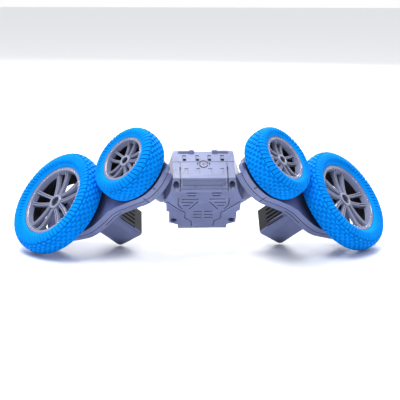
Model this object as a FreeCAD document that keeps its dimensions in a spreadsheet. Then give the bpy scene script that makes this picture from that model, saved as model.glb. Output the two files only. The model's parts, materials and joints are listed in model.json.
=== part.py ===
import FreeCAD, Part
import Sketcher
import math
import os
import re
from FreeCAD import Placement, Rotation, Vector

# Radio-controlled stunt car: a central body with two swing arms. Each arm carries
# a small wheel on its swivel axis and a big wheel at its tip, driven by one motor.
#
# Body frame: X across the car, Y through the body from front to rear, Z up its front face.
# Arm frame:  X from the swivel axis to the big axle, Y along the body's Y (mirrored on the
#             left), Z out along the axles, with zero at the wheels' outer faces.

doc = FreeCAD.newDocument("StuntCar")

# ---------------------------------------------------------------- driving dimensions

DIMENSIONS = {
    # stance
    "body_pitch": 38.5,
    "arm_cant": 40.0,
    "swivel_across": 71.5,
    "swivel_up": 58.3,
    "ride_height": 46.302,
    "origin_shift": 7.724,
    # wheels
    "axle_distance": 85.0,
    "big_rim": 34.0,
    "big_tyre": 49.5,
    "big_width": 22.4,
    "big_bulge": 1.8,
    "big_hub": 7.0,
    "big_axle": 2.0,
    "small_rim": 21.7,
    "small_tyre": 33.5,
    "small_width": 24.6,
    "small_bulge": 1.6,
    "small_hub": 5.5,
    "small_axle": 1.5,
    "rim_wall": 1.8,
    "rim_depth": 17.5,
    "tyre_wall": 2.2,
    "tyre_round": 7.0,
    "hub_back": 21.5,
    "big_set": 2.5,
    "small_set": 0.8,
    "hub_set": 4.3,
    "hub_recess": 7.7,
    "bead_drop": 2.6,
    "bead_slope": 4.0,
    "spoke_thick": 4.0,
    "spoke_pairs": 5,
    "big_turn_right": 26.0,
    "big_turn_left": 34.0,
    "small_turn_right": 28.0,
    "small_turn_left": 44.0,
    # depths in the arm, all measured behind the wheels' outer faces
    "arm_face": 24.8,
    "arm_seam": 30.5,
    "arm_back": 36.0,
    "arm_wall": 1.9,
    "gear_front": 27.3,
    "gear_width": 3.9,
    "second_front": 31.7,
    "second_width": 2.0,
    "motor_front": 36.0,
    # arm outline
    "disc_radius": 29.0,
    "waist_along": 28.0,
    "waist_half": 25.0,
    "step_along": 37.0,
    "step_half": 25.5,
    "lobe_along": 62.0,
    "lobe_radius": 33.0,
    "tip_along": 87.0,
    "tip_radius": 25.5,
    "end_radius": 21.5,
    # gears
    "gear_module": 1.0,
    "fine_module": 0.5,
    "pressure_angle": 25.0,
    "addendum": 0.8,
    "dedendum": 1.05,
    "backlash": 0.14,
    "idler_teeth": 20,
    "big_teeth": 30,
    "compound_teeth": 10,
    "fine_teeth": 44,
    "pinion_teeth": 9,
    "pin_radius": 1.25,
    "run_clear": 0.05,
    # motor and its housing
    "motor_along": 56.5,
    "motor_side": -5.0,
    "motor_radius": 10.0,
    "motor_flat": 15.0,
    "motor_length": 25.0,
    "motor_wall": 0.9,
    "shaft_radius": 1.0,
    "nose_radius": 3.0,
    "foot_along": 56.5,
    "foot_side": -6.0,
    "foot_length": 27.0,
    "foot_width": 30.0,
    "foot_depth": 42.0,
    "foot_round": 6.0,
    "foot_wall": 2.0,
    # swivel
    "post_radius": 8.0,
    "post_bore": 5.0,
    "ring_radius": 11.0,
    "ring_seat": 6.5,
    "boss_radius": 11.5,
    "boss_gap": 0.4,
    "post_depth": 50.0,
    # screws
    "screw_shank": 1.1,
    "screw_head": 2.4,
    "screw_post": 3.0,
    # body
    "body_front": 22.4,
    "body_rear": 22.4,
    "body_split": 14.0,
    "body_top": 46.8,
    "body_bottom": -13.5,
    "top_front": 13.7,
    "chamfer_foot": 38.2,
    "rear_edge": 17.5,
    "rear_foot": 41.9,
    "corner_across": 25.9,
    "corner_along": 18.5,
    "body_wall": 2.0,
    "panel_thick": 1.6,
    "door_half": 20.4,
    "door_gap": 0.4,
    "door_back": 4.6,
    "door_thick": 2.0,
    "bay_half": 19.2,
    "bay_floor": 32.0,
    "bay_front": 16.5,
    "bay_back": 3.4,
    "hinge_pin": 0.8,
    "hinge_knuckle": 1.0,
    "hinge_front": 19.3,
    "hinge_up": 39.8,
    "upper_screw_across": 24.3,
    "upper_screw_up": 42.3,
    "lower_screw_across": 25.8,
    "lower_screw_up": -1.6,
    "screw_floor": 4.0,
    "well_radius": 2.7,
    "switch_up": 4.0,
    "door_screw_at": 2.2,
    "door_screw_head": 2.6,
    "door_screw_shank": 1.25,
    "door_screw_sink": 1.1,
    "board_front": 8.0,
    "board_thick": 1.6,
    "knob_travel": 4.0,
}

sheet = doc.addObject("Spreadsheet::Sheet", "Dims")
for row, (alias, value) in enumerate(DIMENSIONS.items(), start=1):
    sheet.set(f"A{row}", alias)
    sheet.set(f"B{row}", str(value))
    sheet.setAlias(f"B{row}", alias)
doc.recompute()


def dim(alias):
    return float(sheet.get(alias))


def linked(text):
    """Write an expression with each dimension's name replaced by its sheet reference."""
    def refer(match):
        word = match.group()
        return f"Dims.{word}" if word in DIMENSIONS else word
    return re.sub(r"[a-z_]+", refer, str(text))


def bind(item, **expressions):
    for name, text in expressions.items():
        item.setExpression(name.replace("_", "."), linked(text))


# ---------------------------------------------------------------- frames

BODY = Placement(Vector(0, dim("origin_shift"), dim("ride_height")),
                 Rotation(Vector(1, 0, 0), dim("body_pitch")))


def arm_in_body(side):
    corner = Vector(side * dim("swivel_across"), 0, dim("swivel_up"))
    turn = Rotation(Vector(0, 1, 0), side * dim("arm_cant"))
    if side < 0:
        turn = turn * Rotation(Vector(0, 0, 1), 180)
    return Placement(corner, turn)


def arm_frame(side):
    return BODY * arm_in_body(side)


SIDES = {"right": 1, "left": -1}

# ---------------------------------------------------------------- building blocks

finished = []


def finish(item, label, place):
    """Give a sub-part its label and its place in the car."""
    if item.TypeId == "Part::Box":
        item = compound([item])
    item.Label = label
    item.Placement = place
    finished.append(item)


def box(center, size):
    """Box given by its centre and its size, each a row of three expressions."""
    item = doc.addObject("Part::Box", "Box")
    bind(item, Length=size[0], Width=size[1], Height=size[2])
    for axis, middle, whole in zip("xyz", center, size):
        bind(item, **{f"Placement_Base_{axis}": f"( {middle} ) - ( {whole} ) / 2"})
    return item


def rod(radius, low, high, along="0", side="0"):
    """Cylinder parallel to Z between two heights."""
    item = doc.addObject("Part::Cylinder", "Rod")
    bind(item, Radius=radius, Height=f"( {high} ) - ( {low} )",
         Placement_Base_x=along, Placement_Base_y=side, Placement_Base_z=low)
    return item


def rod_through(radius, front, back, across, up):
    """Cylinder parallel to the body's Y between two depths."""
    item = doc.addObject("Part::Cylinder", "Rod")
    item.Placement.Rotation = Rotation(Vector(1, 0, 0), -90)
    bind(item, Radius=radius, Height=f"( {back} ) - ( {front} )",
         Placement_Base_x=across, Placement_Base_y=front, Placement_Base_z=up)
    return item


def join(*items):
    if len(items) == 1:
        return items[0]
    item = doc.addObject("Part::MultiFuse", "Join")
    item.Shapes = list(items)
    return item


def cut(base, *tools):
    item = doc.addObject("Part::Cut", "Cut")
    item.Base = base
    item.Tool = join(*tools)
    return item


def common(one, two):
    item = doc.addObject("Part::Common", "Common")
    item.Base = one
    item.Tool = two
    return item


def compound(items):
    item = doc.addObject("Part::Compound", "Group")
    item.Links = items
    return item


def origin_plane(body, role):
    return next(item for item in body.Origin.OriginFeatures if item.Role == role)


def outline(body, role, points, offset="0"):
    """Closed sketch of straight edges whose corners are bound to the sheet."""
    sketch = body.newObject("Sketcher::SketchObject", "Sketch")
    sketch.AttachmentSupport = [(origin_plane(body, role), "")]
    sketch.MapMode = "FlatFace"
    sketch.setExpression("AttachmentOffset.Base.z", linked(offset))
    count = len(points)
    ring = [Vector(math.cos(2 * math.pi * i / count), math.sin(2 * math.pi * i / count), 0)
            for i in range(count)]
    for i in range(count):
        sketch.addGeometry(Part.LineSegment(ring[i], ring[(i + 1) % count]), False)
    for i in range(count):
        sketch.addConstraint(Sketcher.Constraint("Coincident", i, 2, (i + 1) % count, 1))
    for i, point in enumerate(points):
        for kind, text, start in zip(("DistanceX", "DistanceY"), point, ring[i]):
            number = sketch.addConstraint(Sketcher.Constraint(kind, i, 1, start))
            sketch.setExpression(f"Constraints[{number}]", linked(text))
    return sketch


def new_body():
    return doc.addObject("PartDesign::Body", "Body")


def prism(role, points, low, high):
    """Body padded from one outline between two offsets from an origin plane."""
    body = new_body()
    sketch = outline(body, role, points, low)
    pad = body.newObject("PartDesign::Pad", "Pad")
    pad.Profile = sketch
    bind(pad, Length=f"( {high} ) - ( {low} )")
    return body


def turned(points):
    """Body turned about Z from an outline of radius and height."""
    body = new_body()
    sketch = outline(body, "XZ_Plane", points)
    turn = body.newObject("PartDesign::Revolution", "Turn")
    turn.Profile = sketch
    turn.ReferenceAxis = (sketch, ["V_Axis"])
    turn.Angle = 360
    return body


def mirrored_outline(half):
    """Whole outline from the points of its positive half, listed from one end to the other."""
    other = [(f"- ( {across} )", up) for across, up in reversed(half)]
    return list(half) + other


# ---------------------------------------------------------------- gears

def involute(angle):
    return math.tan(angle) - angle


def gear_face(teeth, module, phase):
    """Flat gear outline with involute flanks; a tooth is centred on the phase angle."""
    pressure = math.radians(dim("pressure_angle"))
    pitch = module * teeth / 2
    base = pitch * math.cos(pressure)
    tip = pitch + dim("addendum") * module
    root = pitch - dim("dedendum") * module
    half = math.pi / (2 * teeth) - dim("backlash") * module / (4 * pitch)
    low = max(base, root)
    flank = [low, (low + pitch) / 2, pitch, (pitch + tip) / 2, tip]

    def half_angle(radius):
        return half + involute(pressure) - involute(math.acos(base / radius))

    side = [(radius, half_angle(radius)) for radius in flank]
    if root < base:
        side.insert(0, (root, half_angle(base)))
    corners = []
    for tooth in range(teeth):
        middle = math.radians(phase) + 2 * math.pi * tooth / teeth
        rising = [(radius, middle - angle) for radius, angle in side]
        falling = [(radius, middle + angle) for radius, angle in reversed(side)]
        for radius, angle in rising + falling:
            corners.append(Vector(radius * math.cos(angle), radius * math.sin(angle), 0))
    return Part.Face(Part.makePolygon(corners + corners[:1]))


def gear_disc(teeth, module, phase, front, width):
    """Toothed disc with its front face at a depth behind the wheels' outer faces."""
    face = gear_face(teeth, module, phase)
    face.translate(Vector(0, 0, -(front + width)))
    return face.extrude(Vector(0, 0, width))


def tube_solid(outer, front, width):
    return Part.makeCylinder(outer, width, Vector(0, 0, -(front + width)))


def gear_part(discs, hubs, bore, center):
    """Gear made of toothed discs and plain hubs, bored through, at its place in the arm."""
    solid = discs[0].multiFuse(discs[1:] + hubs) if len(discs) + len(hubs) > 1 else discs[0]
    solid = solid.cut(Part.makeCylinder(bore, 60, Vector(0, 0, -60)))
    item = doc.addObject("Part::Feature", "Gear")
    item.Shape = solid.removeSplitter()
    return item, Placement(center, Rotation())


def meshed_phase(teeth, phase, heading, other_teeth):
    """Phase of a gear that meshes with another lying at a heading from it."""
    step = 360 / other_teeth
    turns = (heading - phase) * teeth / 360
    return heading + 180 - step * (0.5 - turns)


def heading_to(start, end):
    return math.degrees(math.atan2(end.y - start.y, end.x - start.x))


def crossing(one, one_reach, two, two_reach):
    """Point at given distances from two centres, on the left of the way from one to two."""
    gap = two.sub(one)
    along = (one_reach ** 2 - two_reach ** 2 + gap.Length ** 2) / (2 * gap.Length)
    across = math.sqrt(one_reach ** 2 - along ** 2)
    ahead = gap.normalize()
    return one + ahead * along + Vector(-ahead.y, ahead.x, 0) * across


module = dim("gear_module")
fine = dim("fine_module")
idler_teeth = int(dim("idler_teeth"))
big_teeth = int(dim("big_teeth"))
compound_teeth = int(dim("compound_teeth"))
fine_teeth = int(dim("fine_teeth"))
pinion_teeth = int(dim("pinion_teeth"))
idler_step = idler_teeth * module
compound_reach = (idler_teeth + compound_teeth) * module / 2
pinion_reach = (fine_teeth + pinion_teeth) * fine / 2


def gear_layout(side):
    """Gear centres in an arm's frame: small wheel, three idlers, big wheel, compound, motor."""
    line = [Vector(i * idler_step, 0, 0) for i in range(4)]
    big = Vector(dim("axle_distance"), 0, 0)
    motor = Vector(dim("motor_along"), side * dim("motor_side"), 0)
    if side > 0:
        double = crossing(line[3], compound_reach, motor, pinion_reach)
    else:
        double = crossing(motor, pinion_reach, line[3], compound_reach)
    return {"line": line, "big": big, "double": double, "motor": motor}


def make_gears(name, side):
    """The gear train of one arm, every pair in mesh."""
    line, big, double, motor = gear_layout(side).values()
    frame = arm_frame(side)
    front = dim("gear_front")
    width = dim("gear_width")
    second = dim("second_front")
    second_width = dim("second_width")
    hub = dim("pin_radius") * 2.4
    free_bore = dim("pin_radius") + dim("run_clear")
    back = dim("arm_back") - dim("arm_wall") - 0.2

    phases = [0.0]
    for i in range(3):
        phases.append(meshed_phase(idler_teeth, phases[-1], 0.0, idler_teeth))
    big_phase = meshed_phase(idler_teeth, phases[3], 0.0, big_teeth)
    double_phase = meshed_phase(idler_teeth, phases[3], heading_to(line[3], double),
                                compound_teeth)
    pinion_phase = meshed_phase(fine_teeth, double_phase, heading_to(double, motor),
                                pinion_teeth)

    disc = gear_disc(idler_teeth, module, phases[0], front, width)
    gear, place = gear_part([disc], [tube_solid(hub, front - 0.3, width + 0.4)],
                            dim("small_axle"), line[0])
    finish(gear, f"small_wheel_gear_{name}", frame * place)
    for i in (1, 2, 3):
        disc = gear_disc(idler_teeth, module, phases[i], front, width)
        gear, place = gear_part([disc], [tube_solid(hub, front - 0.4, back - front + 0.4)],
                                free_bore, line[i])
        finish(gear, f"idler_gear_{i}_{name}", frame * place)
    disc = gear_disc(big_teeth, module, big_phase, front, width)
    gear, place = gear_part([disc], [tube_solid(2 * hub, front - 0.3, width + 1.3)],
                            dim("big_axle"), big)
    finish(gear, f"big_wheel_gear_{name}", frame * place)
    discs = [gear_disc(compound_teeth, module, double_phase, front, second - front),
             gear_disc(fine_teeth, fine, double_phase, second, second_width)]
    gear, place = gear_part(discs, [], free_bore, double)
    finish(gear, f"compound_gear_{name}", frame * place)
    disc = gear_disc(pinion_teeth, fine, pinion_phase, second - 0.3, second_width + 0.5)
    gear, place = gear_part([disc], [], dim("shaft_radius"), motor)
    finish(gear, f"pinion_{name}", frame * place)


# ---------------------------------------------------------------- wheels

def edges_at(feature, radius):
    """Names of a turned feature's circular edges of one radius."""
    names = []
    for i, edge in enumerate(feature.Shape.Edges, start=1):
        if isinstance(edge.Curve, Part.Circle) and abs(edge.Curve.Radius - radius) < 0.01:
            names.append(f"Edge{i}")
    return names


def make_tyre(size):
    """Hollow tyre, open towards the rim, with rounded shoulders and bead lips."""
    rim, outer, width, bulge = (f"{size}_{part}" for part in ("rim", "tyre", "width", "bulge"))
    back = f"{bulge} - {width}"
    body = turned([(rim, f"{bulge} - bead_drop"), (f"{rim} + bead_slope", bulge), (outer, bulge),
                   (outer, back), (rim, back)])
    doc.recompute()
    turn = body.Tip
    shoulder = body.newObject("PartDesign::Fillet", "Shoulder")
    shoulder.Base = (turn, edges_at(turn, dim(f"{size}_tyre")))
    bind(shoulder, Radius="tyre_round")
    doc.recompute()
    inner = f"{outer} - tyre_wall"
    near = f"{bulge} - tyre_wall"
    far = f"{back} + tyre_wall"
    points = [(f"{rim} - 1", f"{near} - 4.4"), (f"{rim} + 1.5", f"{near} - 4.4"),
              (f"{rim} + 3.5", near), (f"{inner} - 5", near), (inner, f"{near} - 5"),
              (inner, f"{far} + 5"), (f"{inner} - 5", far), (f"{rim} + 3.5", far),
              (f"{rim} + 1.5", f"{far} + 2.4"), (f"{rim} - 1", f"{far} + 2.4")]
    sketch = outline(body, "XZ_Plane", points)
    hollow = body.newObject("PartDesign::Groove", "Hollow")
    hollow.Profile = sketch
    hollow.ReferenceAxis = (sketch, ["V_Axis"])
    hollow.Angle = 360
    return body


def make_rim(size):
    """Rim with a barrel, a deep hub and paired spokes behind an open face."""
    rim, hub, axle = f"{size}_rim", f"{size}_hub", f"{size}_axle"
    face = "- hub_set"
    spoke_back = "- hub_set - spoke_thick"
    inner = f"{rim} - rim_wall"
    back = f"{size}_set - hub_back"
    points = [(axle, "- hub_recess"), (f"{hub} - 2", "- hub_recess"), (f"{hub} - 2", f"{face} + 1"),
              (hub, face), (hub, back), (axle, back)]
    body = turned(points)
    barrel = outline(body, "XZ_Plane", [(inner, "0"), (rim, "0"), (rim, "- rim_depth"),
                                        (inner, "- rim_depth")])
    doc.recompute()
    ring = body.newObject("PartDesign::Revolution", "Barrel")
    ring.Profile = barrel
    ring.ReferenceAxis = (barrel, ["V_Axis"])
    ring.Angle = 360
    ring.AllowMultiFace = True
    body.Tip = ring
    spoke_ends = []
    for way in ("", "- "):
        near = f"{hub} - 0.8"
        far = f"{rim} - rim_wall"
        points = [(near, f"{way} 0.14 * {hub}"), (far, f"{way} 0.13 * {rim}"),
                  (far, f"{way} 0.235 * {rim}"), (near, f"{way} 0.6 * {hub}")]
        sketch = outline(body, "XY_Plane", points, spoke_back)
        pad = body.newObject("PartDesign::Pad", "Spoke")
        pad.Profile = sketch
        bind(pad, Length=f"( {face} ) - ( {spoke_back} )")
        body.Tip = pad
        spoke_ends.append(pad)
    doc.recompute()
    pattern = body.newObject("PartDesign::PolarPattern", "Spokes")
    pattern.Originals = spoke_ends
    pattern.Axis = (spoke_ends[0].Profile[0], ["N_Axis"])
    pattern.Angle = 360
    bind(pattern, Occurrences="spoke_pairs")
    body.Tip = pattern
    return body


def make_axle(size, end):
    """Steel axle with a screw hole in its outer end."""
    tip = f"{end} + {size}_set"
    axle = f"{size}_axle"
    hole = f"0.5 * {axle}"
    return turned([(hole, "- hub_recess"), (axle, "- hub_recess"), (axle, tip), ("0", tip),
                   ("0", "- hub_recess - 8"), (hole, "- hub_recess - 8")])


def make_wheel_screw(size):
    """Pan-headed screw that holds a wheel on its axle."""
    head = f"{size}_hub - 2.6"
    shank = f"0.5 * {size}_axle"
    return turned([("0", "- hub_recess - 7.5"), (shank, "- hub_recess - 7.5"),
                   (shank, "- hub_recess"), (head, "- hub_recess"), (head, "- hub_recess + 1"),
                   (f"{head} - 0.8", "- hub_recess + 1.8"), ("0", "- hub_recess + 1.8")])


def make_wheels(name, side):
    frame = arm_frame(side)
    for size, along, end in (("small", 0, "- gear_front - gear_width - 0.3"),
                             ("big", dim("axle_distance"), "- arm_back + 1")):
        turn = side * dim(f"{size}_turn_{name}")
        place = frame * Placement(Vector(along, 0, 0), Rotation(Vector(0, 0, 1), turn))
        finish(make_tyre(size), f"{size}_tyre_{name}", place)
        place = place * Placement(Vector(0, 0, - dim(f"{size}_set")), Rotation())
        finish(make_rim(size), f"{size}_rim_{name}", place)
        finish(make_axle(size, end), f"{size}_axle_{name}", place)
        finish(make_wheel_screw(size), f"{size}_wheel_screw_{name}", place)


# ---------------------------------------------------------------- arms

ARM_SCREWS = [("8", "21"), ("8", "- 21"), ("step_along", "19.5"), ("step_along", "- 19.5"),
              ("tip_along", "22"), ("tip_along", "- 22")]


NOTCH = (118, 203)


def end_notch(low, high, inset, side):
    """Wedge on the swivel axis, where the arm's disc steps in to its smaller end radius."""
    turns = [math.radians(turn) for turn in NOTCH]
    middle = sum(turns) / 2
    sink = f"{inset} / {math.sin(turns[1] - middle):.5f}"
    reach = 70
    corners = [(0, 0)] + [(reach * math.cos(turn), reach * math.sin(turn))
                          for turn in (turns[0], middle, turns[1])]
    points = [(f"{x:.5f} - ( {math.cos(middle):.5f} ) * {sink}",
               f"{side * y:.5f} - ( {side * math.sin(middle):.5f} ) * {sink}") for x, y in corners]
    return prism("XY_Plane", points if side > 0 else points[::-1], low, high)


def arm_form(low, high, inset, side):
    """Arm's outline as a solid between two heights: disc, waist, lobe and rounded tip."""
    bend = "acos((lobe_radius - tip_radius) / (tip_along - lobe_along))"
    half = [("0", f"disc_radius - {inset}"),
            ("waist_along", f"waist_half - {inset}"),
            ("step_along", f"step_half - {inset}"),
            ("step_along + 9", f"step_half + 4 - {inset}"),
            ("lobe_along", f"lobe_radius - {inset}"),
            (f"lobe_along + (lobe_radius - {inset}) * cos({bend})",
             f"(lobe_radius - {inset}) * sin({bend})"),
            (f"tip_along + (tip_radius - {inset}) * cos({bend})",
             f"(tip_radius - {inset}) * sin({bend})")]
    below = [(along, f"- ( {across} )") for along, across in reversed(half)]
    web = prism("XY_Plane", half + below, low, high)
    disc = cut(rod(f"disc_radius - {inset}", low, high), end_notch(low, high, inset, side))
    return join(web, disc, rod(f"end_radius - {inset}", low, high),
                rod(f"lobe_radius - {inset}", low, high, "lobe_along"),
                rod(f"tip_radius - {inset}", low, high, "tip_along"))


def screw_points(side):
    return [(along, across if side > 0 else f"- ( {across} )") for along, across in ARM_SCREWS]


def make_arm_shells(name, side):
    frame = arm_frame(side)
    layout = gear_layout(side)
    pins = [*layout["line"][1:], layout["double"]]
    motor = layout["motor"]
    seam = "- arm_seam"
    out_wall = "- arm_face - arm_wall"
    in_wall = "- arm_back + arm_wall"

    tray = cut(arm_form(seam, "- arm_face", "0", side), arm_form(seam, out_wall, "arm_wall", side))
    bosses = [rod("small_axle + 3", out_wall, "- hub_back - 0.4"),
              rod("big_axle + 3", out_wall, "- hub_back - 0.4", "axle_distance")]
    holes = [rod("small_axle + run_clear", "- arm_seam", "- hub_back"),
             rod("big_axle + run_clear", "- arm_seam", "- hub_back", "axle_distance")]
    for along, across in screw_points(side):
        bosses.append(rod("screw_post", seam, out_wall, along, across))
        holes.append(rod("screw_shank", seam, "- arm_face - 1.2", along, across))
    for pin in pins:
        holes.append(rod("pin_radius", out_wall, "- arm_face - 0.8", pin.x, pin.y))
    finish(cut(join(tray, *bosses), *holes), f"arm_outer_shell_{name}", frame)

    tray = cut(arm_form("- arm_back", seam, "0", side), arm_form(in_wall, seam, "arm_wall", side))
    bosses = [rod("big_axle + 3", in_wall, "- gear_front - gear_width - 1.4", "axle_distance")]
    holes = [rod("post_radius + run_clear", "- arm_back - 1", seam),
             rod("big_axle + run_clear", "- arm_back + 0.8", seam, "axle_distance"),
             rod("nose_radius + 0.1", "- arm_back - 1", seam, motor.x, motor.y)]
    for along, across in screw_points(side):
        bosses.append(rod("screw_post", in_wall, seam, along, across))
        holes.append(rod("screw_shank", "- arm_back - 1", seam, along, across))
        holes.append(rod("screw_head", "- arm_back - 1", "- arm_back + 1.4", along, across))
    for pin in pins:
        holes.append(rod("pin_radius", "- arm_back + 0.9", in_wall, pin.x, pin.y))
    finish(cut(join(tray, *bosses), *holes), f"arm_inner_shell_{name}", frame)

    screws = [join(rod("screw_head", "- arm_back", "- arm_back + 1.4", along, across),
                   rod("screw_shank", "- arm_back + 1.4", "- arm_face - 1.6", along, across))
              for along, across in screw_points(side)]
    finish(compound(screws), f"arm_screws_{name}", frame)
    pin_rods = [rod("pin_radius", "- arm_back + 1", "- arm_face - 0.9", pin.x, pin.y)
                for pin in pins]
    finish(compound(pin_rods), f"gear_pins_{name}", frame)


def rounded_block(inset, low, high, side):
    """Motor housing form: a block whose long edges and closed end are rounded."""
    front = f"foot_along - foot_length / 2 + {inset}"
    rear = f"foot_along + foot_length / 2 - {inset}"
    near = f"foot_side - foot_width / 2 + {inset}"
    far = f"foot_side + foot_width / 2 - {inset}"
    points = [(front, near), (rear, near), (rear, far), (front, far)]
    if side < 0:
        points = [(along, f"- ( {across} )") for along, across in reversed(points)]
    body = prism("XY_Plane", points, low, high)
    doc.recompute()
    pad = body.Tip
    level = min(vertex.Z for vertex in pad.Shape.Vertexes)
    middle = dim("foot_along")
    chosen = []
    for i, edge in enumerate(pad.Shape.Edges, start=1):
        ends = [vertex.Point for vertex in edge.Vertexes]
        upright = abs(ends[0].z - ends[1].z) > 1
        outward = side * ends[0].y < dim("foot_side")
        at_end = all(abs(point.z - level) < 0.01 for point in ends)
        far_face = all(point.x > middle for point in ends)
        low_face = all(side * point.y < dim("foot_side") for point in ends)
        if (upright and outward) or (at_end and (far_face or low_face)):
            chosen.append(f"Edge{i}")
    rounding = body.newObject("PartDesign::Fillet", "Rounding")
    rounding.Base = (pad, chosen)
    bind(rounding, Radius=f"foot_round - {inset}")
    doc.recompute()
    return body


def make_motor(name, side):
    frame = arm_frame(side)
    motor = gear_layout(side)["motor"]
    end = "- arm_back - foot_depth"
    housing = rounded_block("0", end, "- arm_back", side)
    hollow = rounded_block("foot_wall", f"{end} + foot_wall", "- arm_back", side)
    vents = []
    for i in range(5):
        across = f"foot_side - 9 + {i} * 4.5"
        if side < 0:
            across = f"- ( {across} )"
        vents.append(box(("foot_along - foot_length / 2", across, "- arm_back - 22"),
                         ("foot_wall * 3", "1.6", "20")))
    finish(cut(housing, hollow, *vents), f"motor_housing_{name}", frame)

    x, y = motor.x, motor.y
    front = "- motor_front"
    back = f"{front} - motor_length"
    can = common(rod("motor_radius", back, front, x, y),
                 box((x, y, f"{front} - motor_length / 2"),
                     ("motor_flat", "3 * motor_radius", "2 * motor_length")))
    inside = common(rod("motor_radius - motor_wall", f"{back} + motor_wall",
                        f"{front} - motor_wall", x, y),
                    box((x, y, f"{front} - motor_length / 2"),
                        ("motor_flat - 2 * motor_wall", "3 * motor_radius",
                         "2 * motor_length")))
    nose = rod("nose_radius", front, f"{front} + 1.6", x, y)
    tail = rod("nose_radius", f"{back} - 2", back, x, y)
    opening = rod("shaft_radius + run_clear", f"{back} - 3", f"{front} + 3", x, y)
    finish(cut(join(can, nose, tail), inside, opening), f"motor_case_{name}", frame)

    rotor = turned([("0", "- second_front + 0.4"), ("shaft_radius", "- second_front + 0.4"),
                    ("shaft_radius", f"{front} - 5"), ("6", f"{front} - 5"),
                    ("6", f"{front} - 18"), ("2.4", f"{front} - 18"),
                    ("2.4", f"{front} - 22"), ("shaft_radius", f"{front} - 22"),
                    ("shaft_radius", f"{back} - 2.4"), ("0", f"{back} - 2.4")])
    finish(rotor, f"motor_rotor_{name}", frame * Placement(motor, Rotation()))


def make_swivel(name, side):
    """Hollow post fixed in the body and the ring that keeps the arm on it."""
    frame = arm_frame(side)
    ring_front = "- arm_back + arm_wall + 1.7"
    ring_back = "- arm_back + arm_wall + 0.2"
    post = turned([("post_bore", ring_front), ("ring_seat", ring_front),
                   ("ring_seat", ring_back), ("post_radius", ring_back),
                   ("post_radius", "- post_depth"), ("post_radius + 1", "- post_depth"),
                   ("post_radius + 1", "- post_depth - 2"), ("post_bore", "- post_depth - 2")])
    finish(post, f"swivel_post_{name}", frame)
    ring = turned([("ring_seat", ring_back), ("ring_radius", ring_back),
                   ("ring_radius", ring_front), ("ring_seat", ring_front)])
    finish(ring, f"swivel_ring_{name}", frame)


# ---------------------------------------------------------------- body

FRONT_OUTLINE = [("21.9", "body_bottom"), ("22.3", "body_bottom + 5.5"), ("30", "- 5"),
                 ("30", "10.8"), ("32.6", "11.6"), ("33", "22.5"), ("34.8", "23"),
                 ("34.8", "28"), ("33", "29"), ("29.6", "chamfer_foot"), ("27.1", "body_top")]


CORNER_LEAN = (0.90, 0.425, 0.10)


def body_form(inset, front, rear):
    """Body as a solid: its front outline cut to its side profile, between two depths."""
    half = []
    for across, up in FRONT_OUTLINE:
        shift = f"+ {inset}" if up.startswith("body_bottom") else ""
        shift = f"- {inset}" if up == "body_top" else shift
        half.append((f"{across} - {inset}", f"{up} {shift}"))
    shape = prism("XZ_Plane", mirrored_outline(half), f"- ( {rear} )", f"- ( {front} )")
    profile = [(f"- body_front + {inset}", f"body_bottom + {inset}"),
               (f"body_rear - {inset}", f"body_bottom + {inset}"),
               (f"body_rear - {inset}", f"rear_foot - 0.4 * {inset}"),
               (f"rear_edge - 0.4 * {inset}", f"body_top - {inset}"),
               (f"- top_front + 0.4 * {inset}", f"body_top - {inset}"),
               (f"- body_front + {inset}", f"chamfer_foot - 0.4 * {inset}")]
    side = prism("YZ_Plane", profile, "- 40", "40")
    return cut(common(shape, side), *[corner_cut(inset, way) for way in (-1, 1)])


def corner_cut(inset, way):
    """Block that takes off one rear upper corner of the body, leaning to the rear."""
    lean = Vector(*CORNER_LEAN)
    normal = Vector(way * lean.x, lean.y, lean.z).normalize()
    block = box(("0", "0", f"15 - ( {inset} )"), ("130", "130", "30"))
    holder = compound([block])
    corner = Vector(way * dim("corner_across"), dim("corner_along"), dim("body_top"))
    holder.Placement = Placement(corner, Rotation(Vector(0, 0, 1), normal))
    return holder


def about_swivels(radius, near, far):
    """Cylinders about both swivel axes, in the body's frame, between two depths."""
    rods = []
    for side in SIDES.values():
        item = compound([rod(radius, f"- ( {far} )", f"- ( {near} )")])
        item.Placement = arm_in_body(side)
        rods.append(item)
    return rods


def cross_rod(radius, half):
    """Cylinder along the door's hinge line, reaching equally to both sides."""
    item = doc.addObject("Part::Cylinder", "Rod")
    item.Placement.Rotation = Rotation(Vector(0, 1, 0), 90)
    bind(item, Radius=radius, Height=f"2 * ( {half} )", Placement_Base_x=f"- ( {half} )",
         Placement_Base_y="- hinge_front", Placement_Base_z="hinge_up")
    return item


def door_form(high, deep, half):
    """The door's bent plate, from one depth under the body's surface to another."""
    diagonal = "0.7071"
    points = [("door_back", f"body_top - {high}"),
              (f"- top_front + 0.4 * {high}", f"body_top - {high}"),
              (f"- hinge_front - {diagonal} + {diagonal} * {high}",
               f"hinge_up + {diagonal} - {diagonal} * {high}"),
              (f"- hinge_front - {diagonal} + {diagonal} * {deep}",
               f"hinge_up + {diagonal} - {diagonal} * {deep}"),
              (f"- top_front + 0.4 * {deep}", f"body_top - {deep}"),
              ("door_back", f"body_top - {deep}")]
    return prism("YZ_Plane", points, f"- ( {half} )", half)


BODY_SCREWS = [(f"{sign} {kind}_screw_across", f"{kind}_screw_up")
               for kind in ("upper", "lower") for sign in ("", "-")]


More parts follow.
